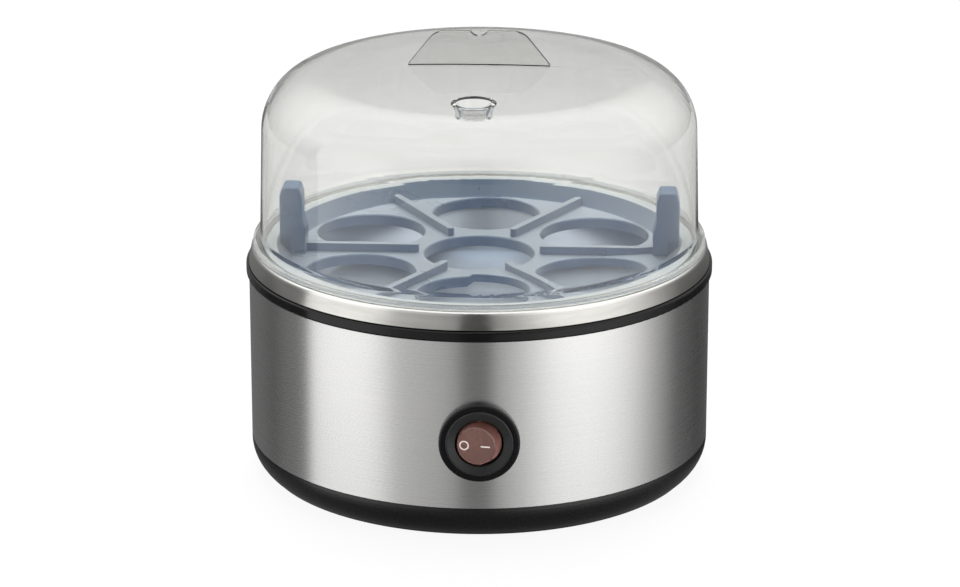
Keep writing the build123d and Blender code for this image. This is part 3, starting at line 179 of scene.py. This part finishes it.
# Clear injection-moulded polystyrene: water clear, with soft waves from the mould that bend what
# stands behind it
def clearPolystyrene():
    material, tree = newMaterial("clear_polystyrene")
    waves = grain(tree, (38.46, 38.46, 55.56), 1.5)
    relief = addNode(tree, "ShaderNodeBump", {"Height": waves, "Distance": 1.2 * mm, "Strength": 0.12})
    shader = addNode(tree, "ShaderNodeBsdfPrincipled", {
        "Base Color": paint("#F0F0EE"), "Roughness": 0.02, "IOR": 1.5,
        "Transmission Weight": 0.995, "Normal": relief})
    path = addNode(tree, "ShaderNodeLightPath")
    lightRays = addNode(tree, "ShaderNodeMath", {
        0: path.outputs["Is Shadow Ray"], 1: path.outputs["Is Diffuse Ray"]}, operation="MAXIMUM")
    addNode(tree, "ShaderNodeOutputMaterial", {
        "Surface": letThrough(tree, shader, lightRays, "#F0F1EE")})
    return material


# The lid's thick lip: the same plastic, milky where light from the steel seat enters it
def milkyPolystyrene():
    material, tree = newMaterial("milky_polystyrene_lip")
    flow = grain(tree, (33.33, 33.33, 8.333))
    rough = addNode(tree, "ShaderNodeMapRange", {
        "Value": flow, **noiseRange, "To Min": 0.12, "To Max": 0.16})
    shader = addNode(tree, "ShaderNodeBsdfPrincipled", {
        "Base Color": twoShades(tree, flow, "#E2E6E6", "#EAEDED"), "Roughness": rough, "IOR": 1.5,
        "Transmission Weight": 0.72})
    shadowRays = addNode(tree, "ShaderNodeLightPath").outputs["Is Shadow Ray"]
    addNode(tree, "ShaderNodeOutputMaterial", {
        "Surface": letThrough(tree, shader, shadowRays, "#E4E6E4")})
    return material


# Where the tray's colour changes, with its painted shade on the slope and its painted sheen: by the
# distance from the axis, by the height, and by how far the skin turns from the eye
trayFinish = {
    "floorEdge": 0.0683, "slopeShade": 0.0693, "slopeEnd": 0.0732, "rim": 0.0738,
    "rimTop": 0.0855, "lugs": 0.088,
    "sheenFrom": 0.2, "sheenTo": 0.65}


# Translucent moulded polypropylene in a blue grey, with a painted sheen that makes it paler where the skin
# is seen at a low angle and palest on the rim, except on the thick lugs, and painted shade that makes the
# slope round the floor darker
def bluePolypropylene():
    material, tree = newMaterial("blue_grey_polypropylene")
    flow = grain(tree, (25, 25, 25), 3.0)
    fine = grain(tree, (0.5556, 0.5556, 0.5556), 1.0)
    place = addNode(tree, "ShaderNodeTexCoord").outputs["Object"]
    height = addNode(tree, "ShaderNodeSeparateXYZ", {"Vector": place}).outputs["Z"]
    underLugs = addNode(tree, "ShaderNodeMapRange", {
        "Value": height, "From Min": trayFinish["rimTop"], "From Max": trayFinish["lugs"],
        "To Min": 1.0, "To Max": 0.0})
    pastFloor = addNode(tree, "ShaderNodeMapRange", {
        "Value": fromAxis(tree, place), "From Min": trayFinish["floorEdge"],
        "From Max": trayFinish["slopeShade"]})
    # Painted shade: the slope round the floor, below the lugs, is coloured darker
    slopeShade = addNode(tree, "ShaderNodeMath", {0: pastFloor, 1: underLugs}, operation="MULTIPLY")
    body = addNode(tree, "ShaderNodeMix", {
        0: slopeShade, 6: twoShades(tree, flow, "#6C86AA", "#768EB1"), 7: paint("#5B7290")},
        data_type="RGBA").outputs[2]
    # Painted sheen: paler where the skin is seen at a low angle, palest on the rim, and none on the lugs
    rim = addNode(tree, "ShaderNodeMapRange", {
        "Value": fromAxis(tree, place), "From Min": trayFinish["slopeEnd"], "From Max": trayFinish["rim"]})
    paintedSheen = addNode(tree, "ShaderNodeMix", {0: rim, 6: paint("#ABB6C6"), 7: paint("#D8DEE4")},
                       data_type="RGBA").outputs[2]
    facing = addNode(tree, "ShaderNodeLayerWeight", {"Blend": 0.5}).outputs["Facing"]
    sheenShare = addNode(tree, "ShaderNodeMapRange", {
        "Value": facing, "From Min": trayFinish["sheenFrom"], "From Max": trayFinish["sheenTo"]})
    lugFreeSheen = addNode(tree, "ShaderNodeMath", {0: sheenShare, 1: underLugs}, operation="MULTIPLY")
    colour = addNode(tree, "ShaderNodeMix", {0: lugFreeSheen, 6: body, 7: paintedSheen}, data_type="RGBA").outputs[2]
    rough = addNode(tree, "ShaderNodeMapRange", {
        "Value": flow, **noiseRange, "To Min": 0.26, "To Max": 0.34})
    relief = addNode(tree, "ShaderNodeBump", {"Height": fine, "Distance": 0.01 * mm, "Strength": 1.0})
    shader = addNode(tree, "ShaderNodeBsdfPrincipled", {
        "Base Color": colour, "Roughness": rough, "IOR": 1.49, "Transmission Weight": 0.2,
        "Coat Weight": 0.3, "Coat Roughness": 0.2, "Normal": relief})
    addNode(tree, "ShaderNodeOutputMaterial", {"Surface": shader})
    return material


# Where the painted pink sheen comes in as the skin turns from the eye
rockerFinish = {"pinkSheenFrom": 0.35, "pinkSheenTo": 0.8}  # how far its skin turns from the eye


# Tinted moulded polycarbonate of the lit rocker: brown red, with a painted pink sheen where it is seen edge
# on
def tintedRocker():
    material, tree = newMaterial("brown_red_polycarbonate")
    flow = grain(tree, (6.25, 6.25, 6.25))
    facing = addNode(tree, "ShaderNodeLayerWeight", {"Blend": 0.5}).outputs["Facing"]
    sheenShare = addNode(tree, "ShaderNodeMapRange", {
        "Value": facing, "From Min": rockerFinish["pinkSheenFrom"], "From Max": rockerFinish["pinkSheenTo"]})
    # Painted sheen: the colour turns pink where the skin is seen edge on
    colour = addNode(tree, "ShaderNodeMix", {
        0: sheenShare, 6: twoShades(tree, flow, "#70493F", "#7C5145"), 7: paint("#C08A82")},
        data_type="RGBA").outputs[2]
    rough = addNode(tree, "ShaderNodeMapRange", {
        "Value": flow, **noiseRange, "To Min": 0.22, "To Max": 0.30})
    shader = addNode(tree, "ShaderNodeBsdfPrincipled", {
        "Base Color": colour, "Roughness": rough, "IOR": 1.58, "Transmission Weight": 0.15,
        "Coat Weight": 0.2, "Coat Roughness": 0.1})
    addNode(tree, "ShaderNodeOutputMaterial", {"Surface": shader})
    return material


# Drawn, rolled or cast metals of the inner parts: fine lines along their length dull the shine
def workedMetal(name, hexColour, lightHex, roughness):
    material, tree = newMaterial(name)
    lines = grain(tree, (1.111, 16.67, 1.111))
    rough = addNode(tree, "ShaderNodeMapRange", {
        "Value": lines, **noiseRange, "To Min": roughness, "To Max": roughness + 0.1})
    relief = addNode(tree, "ShaderNodeBump", {"Height": lines, "Distance": 0.01 * mm, "Strength": 1.0})
    shader = addNode(tree, "ShaderNodeBsdfPrincipled", {
        "Base Color": twoShades(tree, lines, hexColour, lightHex), "Metallic": 1.0,
        "Roughness": rough, "Normal": relief})
    addNode(tree, "ShaderNodeOutputMaterial", {"Surface": shader})
    return material


# Moulded rubber: matt, with a dusting of bloom
def mouldedRubber(name, hexColour, lightHex):
    material, tree = newMaterial(name)
    bloom = grain(tree, (4.545, 4.545, 4.545), 4.0)
    rough = addNode(tree, "ShaderNodeMapRange", {
        "Value": bloom, **noiseRange, "To Min": 0.7, "To Max": 0.85})
    relief = addNode(tree, "ShaderNodeBump", {"Height": bloom, "Distance": 0.02 * mm, "Strength": 1.0})
    shader = addNode(tree, "ShaderNodeBsdfPrincipled", {
        "Base Color": twoShades(tree, bloom, hexColour, lightHex), "Roughness": rough,
        "Normal": relief})
    addNode(tree, "ShaderNodeOutputMaterial", {"Surface": shader})
    return material


# Woven glass-fibre braid: matt, two sets of threads that cross, 2.4 mm apart so that they show
threadPitch = 2.417 * mm


def glassBraid():
    material, tree = newMaterial("glass_fibre_braid")
    place = addNode(tree, "ShaderNodeTexCoord").outputs["Object"]
    waveScale = pi / 10 / threadPitch  # a wave of scale 1 repeats after a tenth of pi
    threads = [addNode(tree, "ShaderNodeTexWave", {"Vector": place, "Scale": waveScale, "Distortion": 2.0},
                       bands_direction=way).outputs["Fac"] for way in ("X", "DIAGONAL")]
    woven = addNode(tree, "ShaderNodeMath", {0: threads[0], 1: threads[1]}, operation="MAXIMUM")
    colour = addNode(tree, "ShaderNodeMix", {0: woven, 6: paint("#C9C5B8"), 7: paint("#E6E2D6")},
                     data_type="RGBA").outputs[2]
    relief = addNode(tree, "ShaderNodeBump", {"Height": woven, "Distance": 0.1 * mm, "Strength": 1.0})
    shader = addNode(tree, "ShaderNodeBsdfPrincipled", {
        "Base Color": colour, "Roughness": 0.8, "Normal": relief})
    addNode(tree, "ShaderNodeOutputMaterial", {"Surface": shader})
    return material


# Blown glass of the neon lamp: clear, with a warm cast
def blownGlass():
    material, tree = newMaterial("neon_lamp_glass")
    shader = addNode(tree, "ShaderNodeBsdfPrincipled", {
        "Base Color": paint("#F2E6DA"), "Roughness": 0.03, "IOR": 1.5, "Transmission Weight": 0.9})
    addNode(tree, "ShaderNodeOutputMaterial", {"Surface": shader})
    return material


# Which finish each CAD node wears
blackAbs = mouldedPlastic("black_satin_abs", "#0E0E0F", "#131314", 0.3, shine=0.4)
collarBlack = mouldedPlastic("black_polished_abs", "#0D0D0D", "#111111", 0.13, 0.6, 0.004, 0.25)
glossNylon = mouldedPlastic("black_gloss_nylon", "#0C0C0E", "#111113", 0.2, 0.4, 0.006, 0.25)
satinNylon = mouldedPlastic("black_satin_nylon", "#1E1F21", "#272827", 0.32, 0.4, 0.006, 0.4)
plainNylon = mouldedPlastic("natural_nylon", "#D9D4C7", "#E2DED3", 0.45)
padPrint = mouldedPlastic("white_pad_print", "#F3E6E2", "#FBF2EF", 0.4, 0.3)  # warm over the red
zincSteel = workedMetal("zinc_plated_steel", "#A7A9AA", "#B7B8B8", 0.32)
annealedSteel = workedMetal("annealed_steel_sheath", "#6E6862", "#857E76", 0.42)
brass = workedMetal("rolled_brass", "#C7A45A", "#D3B26B", 0.3)
aluminium = workedMetal("rolled_aluminium", "#C8CACB", "#D3D4D4", 0.35)
braid = glassBraid()
finishes = {
    "base_tub": blackAbs, "body_shell": blackAbs, "shell_rim": blackAbs, "cord_gland": blackAbs,
    "thermostat_body": blackAbs,
    "collar_ring": collarBlack, "switch_surround": glossNylon, "switch_housing": satinNylon,
    "rubber_feet": mouldedRubber("black_foot_rubber", "#161616", "#222221"),
    "pan_seal": mouldedRubber("grey_silicone", "#8C8D8E", "#9A9B9B"),
    "steel_band": brushedStainless(), "heating_pan": polishedStainless(),
    "egg_tray": bluePolypropylene(), "lid": clearPolystyrene(),
    "rocker": tintedRocker(), "rocker_marks": padPrint, "switch_lamp": blownGlass(),
    "rocker_plunger": plainNylon, "terminal_block": plainNylon,
    "heating_element": annealedSteel, "heat_spreader": aluminium, "thermostat_cap": aluminium,
    "element_insulators": mouldedPlastic("steatite_ceramic", "#DEDACF", "#E9E6DD", 0.55),
    "housing_screws": zincSteel, "collar_screws": zincSteel, "bracket_screws": zincSteel,
    "element_pins": zincSteel, "pan_studs": zincSteel, "pan_strap": zincSteel, "pan_nuts": zincSteel,
    "thermostat_bracket": zincSteel, "fuse_clip": zincSteel, "plunger_spring": zincSteel,
    "earth_terminal": brass, "thermostat_terminals": brass, "thermal_fuse": brass,
    "contact_blade": brass, "switch_terminals": brass, "terminal_screws": brass,
    "fuse_sleeve": braid, "switched_lead": braid, "fuse_lead": braid, "element_lead": braid,
    "live_lead": mouldedPlastic("brown_pvc", "#5B3A29", "#64412F", 0.4),
    "neutral_lead": mouldedPlastic("blue_pvc", "#1F4F8F", "#27589A", 0.4),
    "lamp_lead": mouldedPlastic("light_blue_pvc", "#2E66A8", "#3870B2", 0.4),
    "earth_lead": mouldedPlastic("green_pvc", "#2F7A37", "#3A8541", 0.4)}
for nodeName, finish in finishes.items():
    nodes[nodeName].material_slots[0].material = finish
print("finishes given to", len(finishes), "nodes")

meshCopies = {"joinWithin": 0.002 * mm, "smoothUnder": radians(30)}


# A copy of a CAD node, open for editing, with its own normals dropped and its doubled points joined
def copyOf(nodeName, pieceName):
    bpy.ops.object.select_all(action="DESELECT")
    nodes[nodeName].select_set(True)
    bpy.context.view_layer.objects.active = nodes[nodeName]
    bpy.ops.object.duplicate()
    piece = bpy.context.object
    piece.name = pieceName
    bpy.ops.mesh.customdata_custom_splitnormals_clear()
    bpy.ops.object.mode_set(mode="EDIT")
    bpy.ops.mesh.select_all(action="SELECT")
    bpy.ops.mesh.remove_doubles(threshold=meshCopies["joinWithin"])
    return piece


# Pan: its left half and a mirror of it, because the frame's mesh is uneven along the right of its rim
pan = copyOf("heating_pan", "pan_pressing")
bpy.ops.mesh.bisect(plane_co=(0, 0, 0), plane_no=(1, 0, 0), clear_outer=True)
bpy.ops.object.mode_set(mode="OBJECT")
bpy.ops.object.modifier_add(type="MIRROR")
bpy.ops.object.modifier_apply(modifier=pan.modifiers[-1].name)
bpy.ops.object.mode_set(mode="EDIT")
bpy.ops.mesh.select_all(action="SELECT")
bpy.ops.mesh.normals_make_consistent(inside=False)
bpy.ops.object.mode_set(mode="OBJECT")
bpy.ops.object.shade_smooth_by_angle(angle=meshCopies["smoothUnder"])
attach(pan, "base")
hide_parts("heating_pan")
print("pan rim made even")

# Lid: the same shell, with its lip and flare in the milky finish
lidLip = {"top": 0.0871}
lidShell = copyOf("lid", "lid_shell")
lidShell.data.materials.append(milkyPolystyrene())
bpy.ops.mesh.select_all(action="DESELECT")
bpy.ops.object.mode_set(mode="OBJECT")
for face in lidShell.data.polygons:
    face.select = max(lidShell.data.vertices[v].co.z for v in face.vertices) < lidLip["top"]
bpy.ops.object.mode_set(mode="EDIT")
lidShell.active_material_index = 1
bpy.ops.object.material_slot_assign()
bpy.ops.object.mode_set(mode="OBJECT")
bpy.ops.object.shade_smooth_by_angle(angle=meshCopies["smoothUnder"])
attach(lidShell, "cover")
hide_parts("lid")
print("lid lip made milky")

# Camera: where the photograph was taken from
cameraPlace = {
    "distance": 1.4,
    "pitch": radians(18.6458),
    "targetHeight": 0.06414,
    "focalPixels": 3819.78,
    "frameWidth": 960,
    "axisPixel": 479.277,
    "sensor": 36.0,
    "seesTo": 20}
bpy.ops.object.select_all(action="DESELECT")
bpy.ops.object.camera_add(
    location=(0, -cameraPlace["distance"] * cos(cameraPlace["pitch"]),
              cameraPlace["targetHeight"] + cameraPlace["distance"] * sin(cameraPlace["pitch"])),
    rotation=(pi / 2 - cameraPlace["pitch"], 0, 0))
camera = bpy.context.object
camera.data.sensor_width = cameraPlace["sensor"]
camera.data.lens = cameraPlace["focalPixels"] / cameraPlace["frameWidth"] * cameraPlace["sensor"]
camera.data.shift_x = (cameraPlace["frameWidth"] / 2 - cameraPlace["axisPixel"]) / cameraPlace["frameWidth"]
camera.data.clip_end = cameraPlace["seesTo"]
bpy.context.scene.camera = camera
print("camera placed")

# Floor: white paper, lifted towards white where the camera sees it, so only the soft shadow stays
floorPaper = {"size": 9.0, "colour": "#FAFAFA", "lift": 0.92}


def paperMaterial():
    material, tree = newMaterial("matt_white_paper")
    fibres = grain(tree, (3.333, 3.333, 3.333), 3.0)
    relief = addNode(tree, "ShaderNodeBump", {"Height": fibres, "Distance": 0.02 * mm, "Strength": 1.0})
    lit = addNode(tree, "ShaderNodeBsdfPrincipled", {
        "Base Color": paint(floorPaper["colour"]), "Roughness": 0.9, "Normal": relief})
    glow = addNode(tree, "ShaderNodeEmission", {"Color": paint("#FFFFFF"), "Strength": 1.0})
    share = addNode(tree, "ShaderNodeMath", {0: seenRays(tree), 1: floorPaper["lift"]},
                    operation="MULTIPLY")
    mixer = addNode(tree, "ShaderNodeMixShader", {0: share, 1: lit, 2: glow})
    addNode(tree, "ShaderNodeOutputMaterial", {"Surface": mixer})
    return material


bpy.ops.object.select_all(action="DESELECT")
bpy.ops.mesh.primitive_plane_add(size=floorPaper["size"], location=(0, 0, 0))
floor = bpy.context.object
floor.name = "floor"
floor.data.materials.append(paperMaterial())
# Below the floor there is only the tent's dim glowing disc, seen only in reflections, which darkens what
# the metal mirrors from below
floor.visible_glossy = False  # polished metal mirrors the cloth under the table instead
print("floor laid")

# A tent of soft light round the table, seen only in what is polished. Its levels go round it by the
# degrees from the camera's side towards the switch's right, and overhead from the back to the front
tent = {
    "radius": 1.15,
    "low": -1.3,
    "high": 1.2,
    "sides": 96,
    "levelsFrom": -90,
    "levels": (
        (-90, 1.2), (-82, 1.4), (-74, 1.52), (-60, 1.58), (-52, 1.5), (-46, 1.24), (-40, 0.84),
        (-33, 0.76), (-20, 0.66), (-12, 0.56), (-9.4, 0.48), (-8.8, 0.22), (5.2, 0.17), (6.4, 0.5),
        (9, 0.62), (16, 0.8), (22, 1.02), (28, 1.28), (34, 1.52), (41, 1.66), (54, 1.68), (68, 1.44),
        (76, 1.2), (84, 0.9), (92, 0.58), (101, 0.34), (111, 0.11), (135, 0.05), (206, 0.15),
        (226, 0.14), (240, 0.08), (251, 0.15)),
    "overheadBack": 0.36,
    "overheadFront": 1.4,
    "overheadLow": -0.55,
    "overheadHigh": 0.4,
    "overheadFrom": 0.3,
    "overheadTo": 0.7,
    "overheadLean": 0.5,
    "higherFrom": -0.2,
    "higherTo": 0.1,
    "higherFront": -0.08,
    "higherSide": 0.13,
    "sideFrom": -0.1}
tentUnder = {"height": -0.5, "level": 0.2}


def tentMaterial():
    material, tree = newMaterial("tent_cloth")
    place = addNode(tree, "ShaderNodeTexCoord").outputs["Object"]
    turn = addNode(tree, "ShaderNodeTexGradient", {"Vector": place}, gradient_type="RADIAL")
    ramp = addNode(tree, "ShaderNodeValToRGB", {"Fac": turn.outputs["Fac"]})
    brightest = max(level for angle, level in tent["levels"])
    stops = ramp.color_ramp.elements
    stops.remove(stops[1])
    for angle, level in tent["levels"]:
        position = (angle - tent["levelsFrom"]) / 360
        stop = stops.new(position) if position > 0 else stops[0]
        stop.color = (level / brightest, level / brightest, level / brightest, 1)
    aroundLevel = addNode(tree, "ShaderNodeMath", {0: ramp, 1: brightest}, operation="MULTIPLY")
    axes = addNode(tree, "ShaderNodeSeparateXYZ", {"Vector": place})
    higher = addNode(tree, "ShaderNodeMapRange", {
        "Value": axes.outputs["Z"], "From Min": tent["higherFrom"], "From Max": tent["higherTo"]})
    gain = addNode(tree, "ShaderNodeMapRange", {
        "Value": axes.outputs["Y"], "From Min": -tent["radius"], "From Max": tent["sideFrom"],
        "To Min": tent["higherFront"], "To Max": tent["higherSide"]})
    sideLevel = addNode(tree, "ShaderNodeMath", {0: higher, 1: gain, 2: aroundLevel},
                        operation="MULTIPLY_ADD")
    forward = addNode(tree, "ShaderNodeMath", {0: axes.outputs["Z"], 1: axes.outputs["Y"]},
                      operation="SUBTRACT")
    overhead = addNode(tree, "ShaderNodeMapRange", {
        "Value": forward, "From Min": tent["overheadLow"], "From Max": tent["overheadHigh"],
        "To Min": tent["overheadBack"], "To Max": tent["overheadFront"]})
    leaning = addNode(tree, "ShaderNodeMath", {
        0: axes.outputs["Y"], 1: tent["overheadLean"], 2: axes.outputs["Z"]}, operation="MULTIPLY_ADD")
    share = addNode(tree, "ShaderNodeMapRange", {
        "Value": leaning, "From Min": tent["overheadFrom"], "From Max": tent["overheadTo"]})
    strength = addNode(tree, "ShaderNodeMix", {0: share, 2: sideLevel, 3: overhead})
    glow = addNode(tree, "ShaderNodeEmission", {"Color": paint("#FFFFFF"), "Strength": strength})
    straight = addNode(tree, "ShaderNodeBsdfTransparent", {"Color": paint("#FFFFFF")})
    path = addNode(tree, "ShaderNodeLightPath")
    mirrored = addNode(tree, "ShaderNodeMath", {0: path.outputs["Glossy Depth"], 1: 1.0},
                       operation="MINIMUM")
    mixer = addNode(tree, "ShaderNodeMixShader", {0: mirrored, 1: straight, 2: glow})
    addNode(tree, "ShaderNodeOutputMaterial", {"Surface": mixer})
    return material


def underMaterial():
    material, tree = newMaterial("tent_under")
    glow = addNode(tree, "ShaderNodeEmission", {
        "Color": paint("#FFFFFF"), "Strength": tentUnder["level"]})
    addNode(tree, "ShaderNodeOutputMaterial", {"Surface": glow})
    return material


def onlyMirrored(card, material):
    card.data.materials.append(material)
    card.visible_camera = False
    card.visible_diffuse = False
    card.visible_shadow = False


bpy.ops.object.select_all(action="DESELECT")
bpy.ops.mesh.primitive_cylinder_add(vertices=tent["sides"], radius=tent["radius"],
                                    depth=tent["high"] - tent["low"],
                                    location=(0, 0, (tent["high"] + tent["low"]) / 2))
tentCloth = bpy.context.object
tentCloth.name = "tent_cloth"
onlyMirrored(tentCloth, tentMaterial())
bpy.ops.object.select_all(action="DESELECT")
bpy.ops.mesh.primitive_circle_add(vertices=tent["sides"], radius=tent["radius"], fill_type="NGON",
                                  location=(0, 0, tentUnder["height"]))
underTable = bpy.context.object
underTable.name = "tent_under"
onlyMirrored(underTable, underMaterial())
print("tent put up")

# Lamps: broad and soft, at a level where a colour looks as it is written
lamps = {
    "left": {"place": (-1.3, -1.1, 1.2), "size": 1.2, "power": 5, "mirrored": False},
    "right": {"place": (1.4, -1.0, 1.1), "size": 1.2, "power": 6, "mirrored": False},
    "top": {"place": (0, 0.8, 1.7), "size": 1.6, "power": 54, "mirrored": True}}
for name, lamp in lamps.items():
    bpy.ops.object.select_all(action="DESELECT")
    place = Vector(lamp["place"])
    bpy.ops.object.light_add(type="AREA", location=place, rotation=place.to_track_quat("Z", "Y").to_euler())
    light = bpy.context.object
    light.name = "lamp_" + name
    light.data.shape = "SQUARE"
    light.data.size = lamp["size"]
    light.data.energy = lamp["power"]
    light.visible_glossy = lamp["mirrored"]
    light.visible_camera = False

# World: plain white where it is seen, and a soft fill as light
world = bpy.data.worlds.new("studio")
bpy.context.scene.world = world
world.use_nodes = True
tree = world.node_tree
tree.nodes.clear()
ambient = 0.4
level = addNode(tree, "ShaderNodeMapRange", {"Value": seenRays(tree), "To Min": ambient, "To Max": 1.0})
sky = addNode(tree, "ShaderNodeBackground", {"Color": paint("#FFFFFF"), "Strength": level})
addNode(tree, "ShaderNodeOutputWorld", {"Surface": sky})
bpy.context.scene.view_settings.view_transform = "Standard"
print("lamps and world set")
